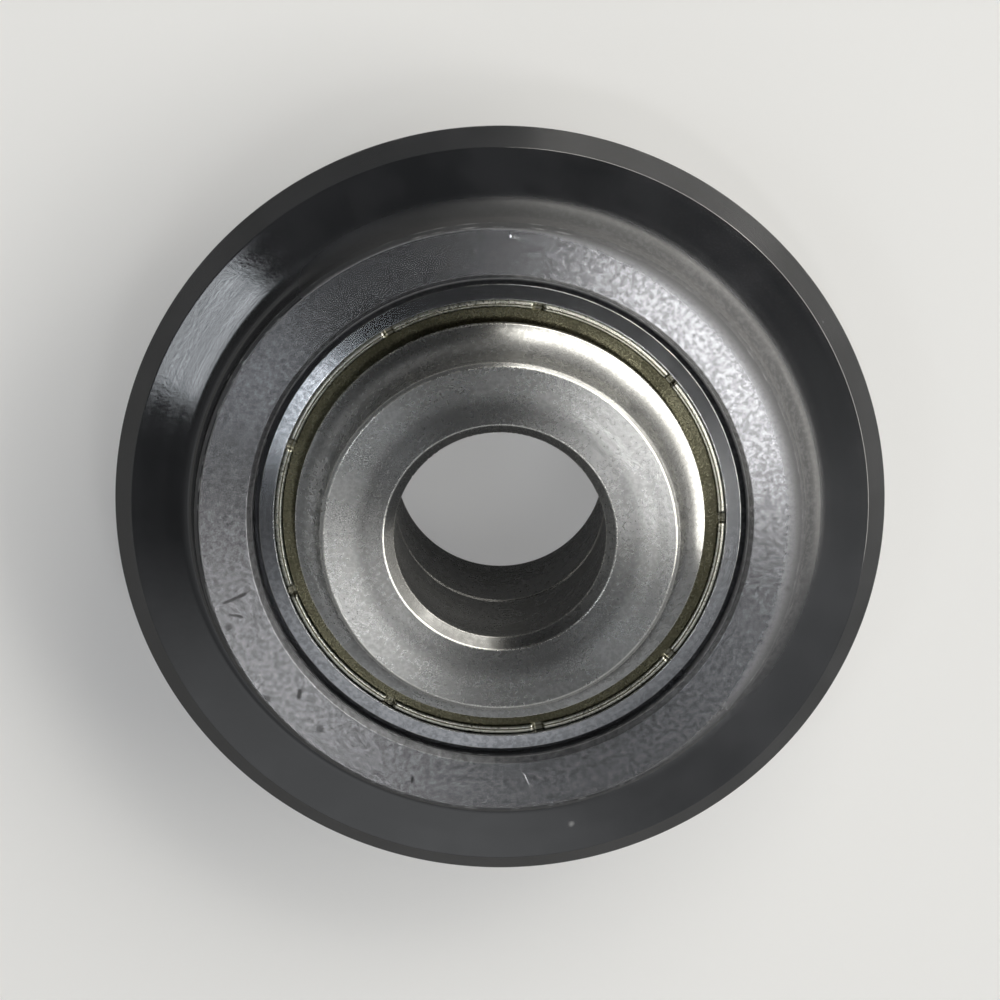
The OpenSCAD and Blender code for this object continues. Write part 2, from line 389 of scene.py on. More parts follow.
class Effects:
    """Shared shader groups, each built once."""

    def __init__(self) -> None:
        """Builds every group."""
        self.place = self.build_place()
        self.marks = self.build_marks()
        self.grain = self.build_grain()
        self.wear = self.build_wear()
        self.nick = self.build_nick()

    @staticmethod
    def build_place() -> NodeTree:
        """Where a point lies: its distance from the axle and height in mm, and its direction."""
        g = new_group("place_on_wheel", {}, {
            "Radius": FLOAT, "Height": FLOAT, "East": FLOAT, "North": FLOAT,
        })
        spot = g.spot()
        parts = g.add("ShaderNodeSeparateXYZ", {0: spot}).outputs
        radius = g.vector("LENGTH", g.vector("MULTIPLY", spot, (1.0, 1.0, 0.0)))
        safe = g.math("MAXIMUM", radius, LEAST_RADIUS)
        out = g.add("NodeGroupOutput").inputs
        g.put(g.times(radius, 1.0 / MM), out["Radius"])
        g.put(g.times(parts["Z"], 1.0 / MM), out["Height"])
        g.put(g.math("DIVIDE", parts["X"], safe), out["East"])
        g.put(g.math("DIVIDE", parts["Y"], safe), out["North"])
        return g.tree

    def build_marks(self) -> NodeTree:
        """Fine rings left by turning or grinding.

        Noise is read at (radius, height, east, north): it changes fast across the rings and
        slowly along them, and it closes on itself all the way round.
        """
        g = new_group("turning_marks", {
            "Lines per mm": (FLOAT, 20.0), "Breaks": (FLOAT, 4.0),
        }, {"Fine": FLOAT, "Broad": FLOAT})
        given = g.add("NodeGroupInput").outputs
        at = g.group(self.place)
        out = g.add("NodeGroupOutput").inputs
        for label, share, breaks in (("Fine", 1.0, 1.0), ("Broad", BROAD_LINES, BROAD_BREAKS)):
            across = g.times(given["Lines per mm"], share)
            along = g.times(given["Breaks"], breaks)
            vector = g.add("ShaderNodeCombineXYZ", {
                0: g.times(at["Radius"], across),
                1: g.times(at["Height"], across),
                2: g.times(at["East"], along),
            }).outputs[0]
            north = g.times(at["North"], along)
            g.put(g.noise(vector, 1.0, detail=3.0, w=north), out[label])
        return g.tree

    @staticmethod
    def build_grain() -> NodeTree:
        """An even grain, and slow clouds such as a film of oil leaves."""
        g = new_group("grain_and_film", {"Grains per mm": (FLOAT, 12.0)}, {
            "Grain": FLOAT, "Film": FLOAT, "Specks": FLOAT,
        })
        given = g.add("NodeGroupInput").outputs
        spot = g.spot()
        grains = g.times(given["Grains per mm"], 1.0 / MM)
        out = g.add("NodeGroupOutput").inputs
        g.put(g.noise(spot, grains, detail=4.0, roughness=0.65), out["Grain"])
        g.put(g.noise(spot, CLOUDS_PER_MM / MM, detail=3.0, roughness=0.6), out["Film"])
        cells = g.add("ShaderNodeTexVoronoi", {"Vector": spot, "Scale": g.times(grains, SPECK_CELLS)})
        pick = g.add("ShaderNodeSeparateColor", {0: cells.outputs["Color"]}).outputs[0]
        near = g.ramp(cells.outputs["Distance"], 0.1, 0.32, (1.0, 0.0))
        g.put(g.times(near, g.ramp(pick, 0.93, 0.97)), out["Specks"])
        return g.tree

    @staticmethod
    def build_wear() -> NodeTree:
        """Rubbed edges, which on bare steel also carry a painted highlight: the piece's own edge
        attribute, broken up by noise.
        """
        g = new_group("edge_wear_and_highlight", {"Amount": (FLOAT, 0.5)}, {"Mask": FLOAT})
        given = g.add("NodeGroupInput").outputs
        edge = g.add("ShaderNodeAttribute", attribute_name=EDGE_ATTRIBUTE).outputs["Fac"]
        broken = g.noise(g.spot(), WEAR_BREAKS_PER_MM / MM, detail=4.0)
        lifted = g.plus(g.times(given["Amount"], 1.4), -0.9)
        out = g.add("NodeGroupOutput").inputs
        g.put(g.times(edge, g.ramp(g.plus(broken, lifted), 0.0, 0.35)), out["Mask"])
        return g.tree

    @staticmethod
    def build_nick() -> NodeTree:
        """One straight mark on a flat face: a bar about a centre, thinning to its ends."""
        g = new_group("nick", {
            "Centre": (VECTOR, (0.0, 0.0, 0.0)), "Along": (VECTOR, (1.0, 0.0, 0.0)),
            "Half length": (FLOAT, 0.3), "Half width": (FLOAT, 0.03),
        }, {"Mask": FLOAT})
        given = g.add("NodeGroupInput").outputs
        spot = g.spot()
        away = g.vector("SUBTRACT", g.vector("MULTIPLY", spot, (1.0 / MM,) * 3), given["Centre"])
        run = g.vector("DOT_PRODUCT", away, given["Along"])
        whole = g.vector("LENGTH", away)
        square = g.math("SUBTRACT", g.times(whole, whole), g.times(run, run))
        aside = g.math("SQRT", g.math("MAXIMUM", square, 0.0))
        wobble = g.plus(g.noise(spot, NICK_WOBBLES_PER_MM / MM, detail=3.0), 0.6)
        aside = g.math("DIVIDE", aside, g.times(given["Half width"], wobble))
        ends = g.math("DIVIDE", g.math("ABSOLUTE", run), given["Half length"])
        mask = g.times(g.ramp(aside, 0.4, 1.2, (1.0, 0.0)), g.ramp(ends, 0.7, 1.1, (1.0, 0.0)))
        g.put(mask, g.add("NodeGroupOutput").inputs["Mask"])
        return g.tree


# Finishes


def blank_graph(owner: Material | World) -> Graph:
    """Empties the node tree of a material or a world and gives a graph to fill it with."""
    owner.use_nodes = True
    owner.node_tree.nodes.clear()
    return Graph(owner.node_tree)


def shaded(name: str) -> tuple[Material, Graph, Node]:
    """A new material with an empty Principled BSDF joined to its output.

    Args:
        name: The material's name.

    Returns:
        The material, its graph and its Principled BSDF.
    """
    material = bpy.data.materials.new(name)
    g = blank_graph(material)
    shader = g.add("ShaderNodeBsdfPrincipled")
    g.put(shader.outputs[0], g.add("ShaderNodeOutputMaterial").inputs[0])
    return material, g, shader


def set_tangent(g: Graph, shader: Node, anisotropy: float, spiral: float = 0.0) -> None:
    """Spreads highlights across rings that run round the axle, or spiral by a part of a turn."""
    tangent = g.add("ShaderNodeTangent", direction_type="RADIAL", axis="Z")
    g.put(tangent.outputs[0], shader.inputs["Tangent"])
    shader.inputs["Anisotropic"].default_value = anisotropy
    shader.inputs["Anisotropic Rotation"].default_value = QUARTER_TURN + spiral


def set_relief(g: Graph, shader: Node, height: object) -> None:
    """Bumps the surface by a height in millimetres."""
    bump = g.add("ShaderNodeBump", {"Height": height, "Strength": 1.0, "Distance": MM})
    g.put(bump.outputs[0], shader.inputs["Normal"])


@dataclass(frozen=True)
class SteelFinish:
    """Bare steel that was turned, ground or pressed, with grain, a film, and edges lightened partly as
    rubbed wear and partly as a painted highlight.

    Depths are in millimetres. Within a given radius, also in millimetres, the colour is darkened by a
    given share as painted shade on the inner part of a face, and spiral turns the highlights by that
    part of a turn.
    """

    name: str
    light: Triple
    dark: Triple
    roughness: Pair
    anisotropy: float
    lines_per_mm: float
    mark_depth: float
    grain_depth: float
    breaks: float = 5.0
    swell_depth: float = 0.0
    # Painted shade: inside this radius the colour darkens towards the given colour by the given share
    painted_shade_within: float = 0.0
    painted_shade_edge: float = 0.25
    painted_shade_share: float = 0.44
    painted_shade_colour: Triple = (0.02, 0.02, 0.02)
    spiral: float = 0.0
    film: float = 0.3
    film_rough: float = 0.15
    grains_per_mm: float = 14.0
    grain_share: float = 0.6
    wear: float = 0.4
    # Rounded edges lighten to this colour, partly as wear and partly as a painted highlight
    wear_and_highlight: Triple = (0.86, 0.86, 0.84)

    def build(self, fx: Effects) -> Material:
        """Builds the material.

        Args:
            fx: The shared effects.

        Returns:
            The material.
        """
        material, g, shader = shaded(self.name)
        marks = g.group(fx.marks, {"Lines per mm": self.lines_per_mm, "Breaks": self.breaks})
        grain = g.group(fx.grain, {"Grains per mm": self.grains_per_mm})
        worn = g.group(fx.wear, {"Amount": self.wear})["Mask"]
        grains = g.ramp(grain["Grain"], *GRAIN_SPAN)
        film = g.times(g.ramp(grain["Film"], 0.4, 0.7), self.film)
        broad = g.ramp(marks["Broad"], *BROAD_SPAN)
        shade = g.blend(self.grain_share, broad, grains)
        colour = g.mix(g.math("SUBTRACT", shade, film), self.dark, self.light)
        # Painted shade on the inner part of the face
        if self.painted_shade_within > 0.0:
            radius = g.group(fx.place)["Radius"]
            inner, outer = self.painted_shade_within - self.painted_shade_edge, self.painted_shade_within + self.painted_shade_edge
            colour = g.mix(g.ramp(radius, inner, outer, (self.painted_shade_share, 0.0)), colour, self.painted_shade_colour)
        # The edge mask lightens the colour, partly as wear and partly as a painted highlight
        g.put(g.mix(worn, colour, self.wear_and_highlight), shader.inputs["Base Color"])
        rough = g.blend(grains, *reversed(self.roughness))
        g.put(g.plus(rough, g.times(film, self.film_rough)), shader.inputs["Roughness"])
        shader.inputs["Metallic"].default_value = 1.0
        set_tangent(g, shader, self.anisotropy, self.spiral)
        height = g.times(marks["Fine"], self.mark_depth)
        height = g.math("MULTIPLY_ADD", marks["Broad"], self.swell_depth, height)
        set_relief(g, shader, g.math("MULTIPLY_ADD", grain["Grain"], self.grain_depth, height))
        return material


@dataclass(frozen=True)
class Nick:
    """A mark on the ground boss face, placed by its direction from the axle."""

    degrees: float
    radius: float
    lean: float
    half_length: float
    half_width: float


@dataclass(frozen=True)
class BlackenedFinish:
    """Blackened steel, ground bare on the boss faces, with a mottled edge to the bare metal.

    Lengths are in millimetres. The mottled edge is widest in the direction that was ground
    less, and the coat is rubbed from foot_from to foot_to beyond the boss.
    """

    name: str = "blackened_steel"
    black: Triple = (0.014, 0.015, 0.017)
    black_light: Triple = (0.024, 0.025, 0.028)
    bare_dark: Triple = (0.31, 0.31, 0.32)
    bare_light: Triple = (0.55, 0.55, 0.57)
    worn: Triple = (0.34, 0.34, 0.35)
    rubbed: Triple = (0.15, 0.15, 0.16)
    dust: Triple = (0.6, 0.6, 0.6)
    stained: Triple = (0.05, 0.05, 0.05)
    scratched: Triple = (0.9, 0.9, 0.9)
    worn_share: float = 0.55
    stain_share: float = 0.85
    pit_share: float = 0.6
    grain_share: float = 0.8
    scratch_depth: float = 0.006
    coat_rings: float = 0.0008
    foot_rings: float = 0.004
    steel_rings: float = 0.0002
    coat_grit: float = 0.0016
    steel_grit: float = 0.0007
    ground_less: Pair = (0.97, 0.24)
    lines_per_mm: float = 16.0
    breaks: float = 1.2
    grains_per_mm: float = 6.5
    wear: float = 0.32
    ior: float = 2.1
    anisotropy: float = 0.82
    coat_rough: Pair = (0.09, 0.14)
    foot_rough: float = 0.72
    bevel_rough: float = 0.24
    steel_rough: Pair = (0.27, 0.24)
    bare_edge_r: float = 8.56
    bare_edge_w: float = 0.42
    bare_from_z: float = 2.02
    bare_rise: float = 0.06
    foot_from: float = 0.05
    foot_to: float = 0.65
    scratches: tuple[Nick, ...] = (
        Nick(276.0, 7.85, 18.0, 0.34, 0.022),
        Nick(87.0, 8.3, 80.0, 0.16, 0.06),
        Nick(318.0, 8.05, 64.0, 0.5, 0.014),
        Nick(139.0, 8.2, 30.0, 0.24, 0.016),
    )
    stains: tuple[Nick, ...] = (
        Nick(197.0, 7.9, 8.0, 0.42, 0.05),
        Nick(200.5, 8.05, -30.0, 0.24, 0.05),
        Nick(222.0, 7.7, 40.0, 0.16, 0.07),
        Nick(252.0, 8.1, 12.0, 0.12, 0.05),
    )

    @staticmethod
    def nick_mask(g: Graph, fx: Effects, nicks: tuple[Nick, ...], height: float) -> object:
        """The strongest of several nicks at each point of the front boss face."""
        total: object = 0.0
        for nick in nicks:
            a, lean = math.radians(nick.degrees), math.radians(nick.degrees + nick.lean)
            mark = g.group(fx.nick, {
                "Centre": (nick.radius * math.cos(a), nick.radius * math.sin(a), height),
                "Along": (math.cos(lean), math.sin(lean), 0.0),
                "Half length": nick.half_length, "Half width": nick.half_width,
            })
            total = g.math("MAXIMUM", total, mark["Mask"])
        return total

    def build(self, fx: Effects, boss_z: float, boss_r: float, bevel_r: float) -> Material:
        """Builds the material.

        Args:
            fx: The shared effects.
            boss_z: Height of the boss face in millimetres.
            boss_r: Radius of the boss in millimetres.
            bevel_r: Radius where the ground bevel starts, in millimetres.

        Returns:
            The material.
        """
        material, g, shader = shaded(self.name)
        at = g.group(fx.place)
        marks = g.group(fx.marks, {"Lines per mm": self.lines_per_mm, "Breaks": self.breaks})
        grain = g.group(fx.grain, {"Grains per mm": self.grains_per_mm})
        worn = g.group(fx.wear, {"Amount": self.wear})["Mask"]
        radius, east, north = at["Radius"], at["East"], at["North"]
        broad = g.ramp(marks["Broad"], *BROAD_SPAN)
        grains = g.ramp(grain["Grain"], *GRAIN_SPAN)

        # The bare face ends in a mottled edge, wider on the side that was ground less
        toward = g.plus(g.times(east, self.ground_less[0]), g.times(north, self.ground_less[1]))
        fuzz = g.ramp(toward, 0.1, 0.95, (0.08, 1.0))
        mottle = g.times(g.math("SUBTRACT", grain["Grain"], 0.46), 1.4)
        past = g.math("SUBTRACT", radius, self.bare_edge_r)
        past = g.math("DIVIDE", past, g.times(fuzz, self.bare_edge_w))
        bare = g.ramp(g.plus(past, mottle), -1.0, 0.4, (1.0, 0.0))
        height = g.math("ABSOLUTE", at["Height"])
        bare = g.times(bare, g.ramp(height, self.bare_from_z, self.bare_from_z + self.bare_rise))

        # Ground steel with pits, stains and scratches
        tone = g.blend(self.grain_share, broad, g.ramp(grain["Grain"], 0.36, 0.64))
        pits = g.times(grain["Specks"], self.pit_share)
        stain = g.times(self.nick_mask(g, fx, self.stains, boss_z), self.stain_share)
        scratch = self.nick_mask(g, fx, self.scratches, boss_z)
        steel = g.mix(tone, self.bare_dark, self.bare_light)
        steel = g.mix(g.math("MAXIMUM", stain, pits), steel, self.stained)
        steel = g.mix(scratch, steel, self.scratched)

        # The black coat, worn on edges, rubbed at the boss's foot, and dusty
        foot = g.ramp(radius, boss_r + self.foot_from, boss_r + self.foot_to, (1.0, 0.0))
        rubbed = g.times(g.times(foot, fuzz), g.ramp(grain["Grain"], 0.42, 0.62, (0.1, 0.5)))
        dust = g.times(grain["Specks"], g.ramp(grain["Film"], 0.60, 0.64))
        coat = g.mix(g.ramp(grain["Film"], 0.35, 0.65), self.black, self.black_light)
        coat = g.mix(g.times(worn, self.worn_share), coat, self.worn)
        coat = g.mix(dust, g.mix(rubbed, coat, self.rubbed), self.dust)
        g.put(g.mix(bare, coat, steel), shader.inputs["Base Color"])

        shaded_foot = g.times(foot, g.ramp(g.plus(east, north), -0.1, 0.5))
        coat_rough = g.blend(shaded_foot, g.blend(broad, *self.coat_rough), self.foot_rough)
        ground = g.ramp(radius, bevel_r - 0.01, bevel_r + 0.01)
        coat_rough = g.blend(ground, coat_rough, self.bevel_rough)
        g.put(g.blend(bare, coat_rough, g.blend(grains, *self.steel_rough)), shader.inputs["Roughness"])
        g.put(bare, shader.inputs["Metallic"])
        shader.inputs["IOR"].default_value = self.ior
        set_tangent(g, shader, self.anisotropy)
        ring_depth = g.blend(bare, g.blend(foot, self.coat_rings, self.foot_rings), self.steel_rings)
        grit_depth = g.blend(bare, self.coat_grit, self.steel_grit)
        rings = g.times(marks["Fine"], ring_depth)
        grit = g.math("MULTIPLY_ADD", grain["Grain"], grit_depth, rings)
        set_relief(g, shader, g.math("MULTIPLY_ADD", scratch, -self.scratch_depth, grit))
        return material


RING_STEEL = SteelFinish(
    name="ring_steel", light=(0.68, 0.69, 0.72), dark=(0.40, 0.41, 0.43), roughness=(0.17, 0.21),
    anisotropy=0.2, lines_per_mm=22.0, mark_depth=0.0004, grain_depth=0.0008, grains_per_mm=7.0,
    breaks=1.5)
BALL_STEEL = SteelFinish(
    name="ball_steel", light=(0.78, 0.78, 0.79), dark=(0.66, 0.66, 0.68), roughness=(0.06, 0.10),
    anisotropy=0.0, lines_per_mm=4.0, mark_depth=0.0002, grain_depth=0.0002, film=0.2, wear=0.0)
CAGE_SHEET = SteelFinish(
    name="cage_sheet", light=(0.52, 0.50, 0.46), dark=(0.34, 0.32, 0.28), roughness=(0.30, 0.44),
    anisotropy=0.3, lines_per_mm=8.0, mark_depth=0.001, grain_depth=0.002, film=0.5, wear=0.0)
# The shield's steel is coloured dark olive as painted shade, standing for the shade and dark
# reflections under the bush's collar; its lip edges lighten partly as wear and partly as a painted
# highlight
SHIELD_SHEET_PAINTED_SHADE = SteelFinish(
    name="shield_sheet", light=(0.22, 0.21, 0.14), dark=(0.08, 0.075, 0.048), roughness=(0.22, 0.34),
    anisotropy=0.6, lines_per_mm=14.0, mark_depth=0.001, grain_depth=0.0015, film=0.5, wear=1.2,
    wear_and_highlight=(0.86, 0.85, 0.76))
# The bush's face darkens inside 4.05 mm as painted shade, and its edges lighten strongly, partly as
# wear and partly as a painted highlight
BUSH_STEEL = SteelFinish(
    name="bush_steel", light=(0.70, 0.70, 0.69), dark=(0.42, 0.42, 0.41), roughness=(0.245, 0.275),
    anisotropy=0.82, lines_per_mm=14.0, mark_depth=0.0002, swell_depth=0.0022, grain_depth=0.0004,
    grains_per_mm=7.0, breaks=1.2, film=0.25, wear=0.7, painted_shade_within=4.05, spiral=0.02,
    wear_and_highlight=(0.93, 0.92, 0.88))


# The wheel and its bearing


@dataclass
class CuttingWheel:
    """The scoring wheel itself, in millimetres: bevels, web, boss and the bearing's seat."""

    edge_r: float = 11.0
    edge_land: float = 0.06
    bevel_degrees: float = 50.0
    bevel_z: float = 0.6
    web_degrees: float = 13.0
    boss_share: float = 0.48
    boss_z: float = 2.2
    foot_round: float = 0.6
    boss_break: float = 0.1
    seat_r: float = 7.01
    seat_chamfer: float = 0.2
    face_fall: float = 0.055

    @property
    def bevel_r(self) -> float:
        """Radius where the bevels end and the web starts."""
        slope = math.tan(math.radians(self.bevel_degrees))
        return self.edge_r - (self.bevel_z - self.edge_land / 2) / slope

    @property
    def boss_r(self) -> float:
        """Radius of the boss, which takes its share of the disc between seat and bevels."""
        return self.seat_r + self.boss_share * (self.bevel_r - self.seat_r)

    def build(self, fx: Effects) -> Object:
        """Builds and dresses the wheel. Its boss faces are ground slightly conical.

        Args:
            fx: The shared effects.

        Returns:
            The piece.
        """
        foot_z = self.bevel_z + (self.bevel_r - self.boss_r) * math.tan(math.radians(self.web_degrees))
        rim_z = self.boss_z - self.face_fall
        front = [
            Corner(self.edge_r, self.edge_land / 2, 0.02),
            Corner(self.bevel_r, self.bevel_z, 0.05, worn=False),
            Corner(self.boss_r, foot_z, self.foot_round),
            Corner(self.boss_r, rim_z - self.boss_break, 0.05),
            Corner(self.boss_r - self.boss_break, rim_z, 0.05),
            Corner(self.seat_r + self.seat_chamfer, self.boss_z, 0.03),
            Corner(self.seat_r, self.boss_z - self.seat_chamfer, 0.03),
        ]
        points, wear = subdivided(*rounded_loop(mirrored(front) + front), longest=0.2)
        piece = revolve("cutting_wheel_body", points, wear, columns=480)
        piece.data.materials.append(BlackenedFinish().build(fx, self.boss_z, self.boss_r, self.bevel_r))
        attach(piece, "wheel")
        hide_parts("cutting_wheel")
        return piece


@dataclass
class Bearing:
    """The ball bearing, in millimetres: two rings, balls, a ribbon cage and crimped shields."""

    outer_r: float = 7.0
    bore_r: float = 4.0
    half_w: float = 2.0
    corner: float = 0.15
    pitch_r: float = 5.5
    shoulder: float = 0.65
    race_r: float = 1.04
    ball_r: float = 1.0
    ball_count: int = 9
    rim_w: float = 0.58
    rim_fall: float = 0.11
    recess: float = 0.5
    groove: float = 0.1
    groove_w: float = 0.2
    step: float = 0.1
    step_w: float = 0.55
    sheet: float = 0.15
    shield_depth: float = 0.2
    shield_gap: float = 0.25
    lip_w: float = 0.2
    lip_depth: float = 0.07
    lip_gap: float = 0.02
    slots: int = 9
    slot_w: float = 0.3
    slot_edge: float = 0.06
    slot_sink: float = 0.06
    slot_reach: float = 0.03
    slot_wear_and_highlight: float = 0.15
    race_steps: int = 25
    shield_columns: int = 1080
    ball_rows: int = 33
    ball_columns: int = 64

    @property
    def recess_r(self) -> float:
        """Radius of the recess that holds a shield."""
        return self.outer_r - self.rim_w

    def race(self, shoulder_r: float) -> list[Corner]:
        """The groove that the balls run in, as points from -Z to +Z beside a shoulder.

        The groove is the circle of the race's radius about the ball's centre, and it meets
        the shoulder where its distance from that centre is the shoulder's.
        """
        aside = abs(shoulder_r - self.pitch_r)
        half = math.degrees(math.acos(aside / self.race_r))
        middle = 0.0 if shoulder_r > self.pitch_r else 180.0
        ends = (middle - half, middle + half) if middle == 0.0 else (middle + half, middle - half)
        return arc_corners((self.pitch_r, 0.0), self.race_r, *ends, self.race_steps)

    def outer_ring(self, material: Material) -> Object:
        """Builds the ring that is pressed into the wheel. Its rims fall a little towards the seat."""
        shoulder_r = self.pitch_r + self.shoulder
        recess_z = self.half_w - self.recess
        groove_r = self.recess_r + self.groove
        low = self.half_w - self.rim_fall
        outside = [
            Corner(self.outer_r, -low + self.corner, 0.05),
            Corner(self.outer_r, low - self.corner, 0.05),
            Corner(self.outer_r - self.corner, low, 0.05), Corner(self.recess_r, self.half_w, 0.03),
            Corner(self.recess_r, recess_z + self.groove_w, 0.015),
            Corner(groove_r, recess_z + self.groove_w, 0.015),
            Corner(groove_r, recess_z, 0.015), Corner(shoulder_r, recess_z, 0.02),
        ]
        corners = outside + self.race(shoulder_r)[::-1] + mirrored(outside[2:])
        points, wear = subdivided(*rounded_loop(corners), longest=0.15)
        piece = revolve("bearing_outer_ring", points, wear, columns=420)
        return dressed(piece, material, "wheel", "outer_ring")

    def inner_ring(self, material: Material) -> Object:
        """Builds the ring that holds the bushes."""
        shoulder_r = self.pitch_r - self.shoulder
        face_r, step_z = shoulder_r - self.step, self.half_w - self.step_w
        front = [
            Corner(shoulder_r, step_z, 0.02), Corner(face_r, step_z, 0.02),
            Corner(face_r, self.half_w, 0.03), Corner(self.bore_r + self.corner, self.half_w, 0.04),
            Corner(self.bore_r, self.half_w - self.corner, 0.04),
        ]
        corners = front + mirrored(front) + self.race(shoulder_r)
        points, wear = subdivided(*rounded_loop(corners), longest=0.15)
        piece = revolve("bearing_inner_ring", points, wear, columns=300)
        return dressed(piece, material, "hub", "inner_ring")

    def shield(self, side: Side, material: Material) -> Object:
        """Builds a shield whose lip is parted by slots.

        The lip stands above the disc all the way round. Its height above the disc is scaled
        by a function of the angle that is 1 along a tongue and falls to 0 across each slot.

        Args:
            side: The side it closes.
            material: Its finish.

        Returns:
            The piece.
        """
        face_z = self.half_w - self.shield_depth
        inner_r = self.pitch_r - self.shoulder - self.step + self.shield_gap
        lip_r = self.recess_r - self.lip_gap
        lip_in = lip_r - self.lip_w
        foot_r = self.recess_r + self.groove - self.lip_gap
        recess_z = self.half_w - self.recess
        top_z = self.half_w - self.lip_depth
        corners = [
            Corner(inner_r, face_z - self.sheet, 0.04), Corner(lip_in, face_z - self.sheet, 0.03),
            Corner(lip_in, recess_z, 0.04), Corner(foot_r, recess_z, 0.04),
            Corner(foot_r, recess_z + self.sheet, 0.04), Corner(lip_r, recess_z + self.sheet, 0.03),
            Corner(lip_r, top_z, 0.09), Corner(lip_in, top_z, 0.09),
            Corner(lip_in, face_z, 0.05, worn=False), Corner(inner_r, face_z, 0.05),
        ]
        points, wear = subdivided(*rounded_loop(corners, facet=11.0), longest=0.12)
        turn = around(self.shield_columns)
        pitch = math.tau / self.slots
        from_slot = np.abs((turn + pitch / 2) % pitch - pitch / 2) * lip_r
        tongue = np.clip((from_slot - self.slot_w / 2) / self.slot_edge + 0.5, 0.0, 1.0)
        tongue = tongue * tongue * (3.0 - 2.0 * tongue)
        r, z = points[:, :1], points[:, 1:]
        above = np.maximum(z - (face_z - self.slot_sink), 0.0) * (r > lip_in - self.slot_reach)
        z = z - above * (1.0 - tongue)
        r = np.repeat(r, len(turn), axis=1)
        if side is Side.BACK:
            r, z, wear = r[::-1], -z[::-1], wear[::-1]
        grid = np.stack([r * np.cos(turn), r * np.sin(turn), z], axis=-1) * MM
        # The edge mark along the lip, partly wear and partly a painted highlight, is cut down across
        # each slot
        spread = wear[:, None] * (self.slot_wear_and_highlight + (1.0 - self.slot_wear_and_highlight) * tongue)
        piece = grid_mesh(f"bearing_shield_{side.name.lower()}", grid, spread)
        return dressed(piece, material, "wheel", f"shield_{side.name.lower()}")

    def ball(self, number: int, material: Material) -> Object:
        """Builds one ball: a half circle turned about a line through its own centre."""
        swing = np.radians(np.linspace(-90.0, 90.0, self.ball_rows))[1:-1]
        turn = around(self.ball_columns)
        a = math.tau * (number - 1) / self.ball_count
        centre = np.array([self.pitch_r * math.cos(a), self.pitch_r * math.sin(a), 0.0])
        rings = np.stack([np.outer(np.cos(swing), np.cos(turn)), np.outer(np.cos(swing), np.sin(turn)),
                          np.outer(np.sin(swing), np.ones_like(turn))], axis=-1)
        poles = np.array([[0.0, 0.0, -1.0], [0.0, 0.0, 1.0]])
        points = (np.vstack([rings.reshape(-1, 3), poles]) * self.ball_r + centre) * MM
        rows, columns = rings.shape[:2]
        i, j = np.meshgrid(np.arange(rows - 1) * columns, np.arange(columns), indexing="ij")
        j1 = (j + 1) % columns
        quads = np.stack([i + j, i + j1, i + columns + j1, i + columns + j], axis=-1)
        ring, after = np.arange(columns), (np.arange(columns) + 1) % columns
        south, north, top = rows * columns, rows * columns + 1, (rows - 1) * columns
        faces = quads.reshape(-1, 4).tolist()
        faces += np.stack([np.full(columns, south), after, ring], axis=1).tolist()
        faces += np.stack([np.full(columns, north), top + ring, top + after], axis=1).tolist()
        mesh = smooth_mesh(f"bearing_ball_{number}", points, faces)
        mesh.update()
        piece = placed(mesh.name, mesh)
        return dressed(piece, material, f"ball_{number}_body", f"ball_{number}")

    def build(self, fx: Effects) -> list[Object]:
        """Builds every piece of the bearing, and dresses the cage's own solids.

        Args:
            fx: The shared effects.

        Returns:
            The new pieces.
        """
        ring, ball = RING_STEEL.build(fx), BALL_STEEL.build(fx)
        cage, sheet = CAGE_SHEET.build(fx), SHIELD_SHEET_PAINTED_SHADE.build(fx)
        for half in ("cage_front", "cage_back"):
            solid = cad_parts[half]
            solid.data.materials.clear()
            solid.data.materials.append(cage)
        pieces = [self.outer_ring(ring), self.inner_ring(ring)]
        pieces += [self.shield(side, sheet) for side in Side]
        pieces += [self.ball(k, ball) for k in range(1, self.ball_count + 1)]
        return pieces


@dataclass
class Bush:
    """A flanged bush, in millimetres: a spigot in the bearing and a flared collar."""

    bore_r: float = 3.0
    spigot_r: float = 3.99
    seat_r: float = 4.7
    seat_z: float = 2.0
    under_z: float = 2.12
    rim_z: float = 2.3
    face_r: float = 5.1
    flare_w: float = 0.72
    flare_r: float = 1.2
    face_z: float = 4.0
    face_break: float = 0.1
    mouth: float = 0.3
    joint: float = 0.1
    flare_steps: int = 16

    def build(self, side: Side, material: Material) -> Object:
        """Builds a bush.

        The flare is an arc about a point beside the collar's face. It leaves the collar's
        wall along the axle and meets the rim where the rim's radius is reached.

        Args:
            side: The side it is pressed in from.
            material: Its finish.

        Returns:
            The piece.
        """
        base_r = self.face_r + self.flare_w
        drop = math.sqrt(self.flare_w * (2.0 * self.flare_r - self.flare_w))
        middle = (self.face_r + self.flare_r, self.rim_z + drop)
        last = math.degrees(math.atan2(drop, self.flare_r - self.flare_w))
        flare = arc_corners(middle, self.flare_r, 180.0 + last, 180.0, self.flare_steps)[1:]
        corners = [
            Corner(self.bore_r + self.joint, 0.0, 0.02), Corner(self.spigot_r - self.joint, 0.0, 0.02),
            Corner(self.spigot_r, self.joint, 0.03), Corner(self.spigot_r, self.seat_z, 0.02),
            Corner(self.seat_r, self.seat_z, 0.03), Corner(self.seat_r, self.under_z, 0.02),
            Corner(base_r, self.under_z, 0.05), Corner(base_r, self.rim_z, 0.045), *flare,
            Corner(self.face_r, self.face_z - self.face_break, 0.06),
            Corner(self.face_r - self.face_break, self.face_z, 0.06),
            Corner(self.bore_r + self.mouth, self.face_z, 0.05),
            Corner(self.bore_r, self.face_z - self.mouth, 0.05),
            Corner(self.bore_r, self.joint, 0.03),
        ]
        points, wear = subdivided(*rounded_loop(corners), longest=0.15)
        if side is Side.BACK:
            points, wear = points[::-1] * np.array([1.0, -1.0]), wear[::-1]
        name = side.name.lower()
        piece = revolve(f"flanged_bush_{name}", points, wear, columns=420)
        return dressed(piece, material, "hub", f"bush_{name}")


# Studio


SENSOR_MM = 36.0
COOL = (0.90, 0.95, 1.0)
WARM = (1.0, 0.975, 0.91)


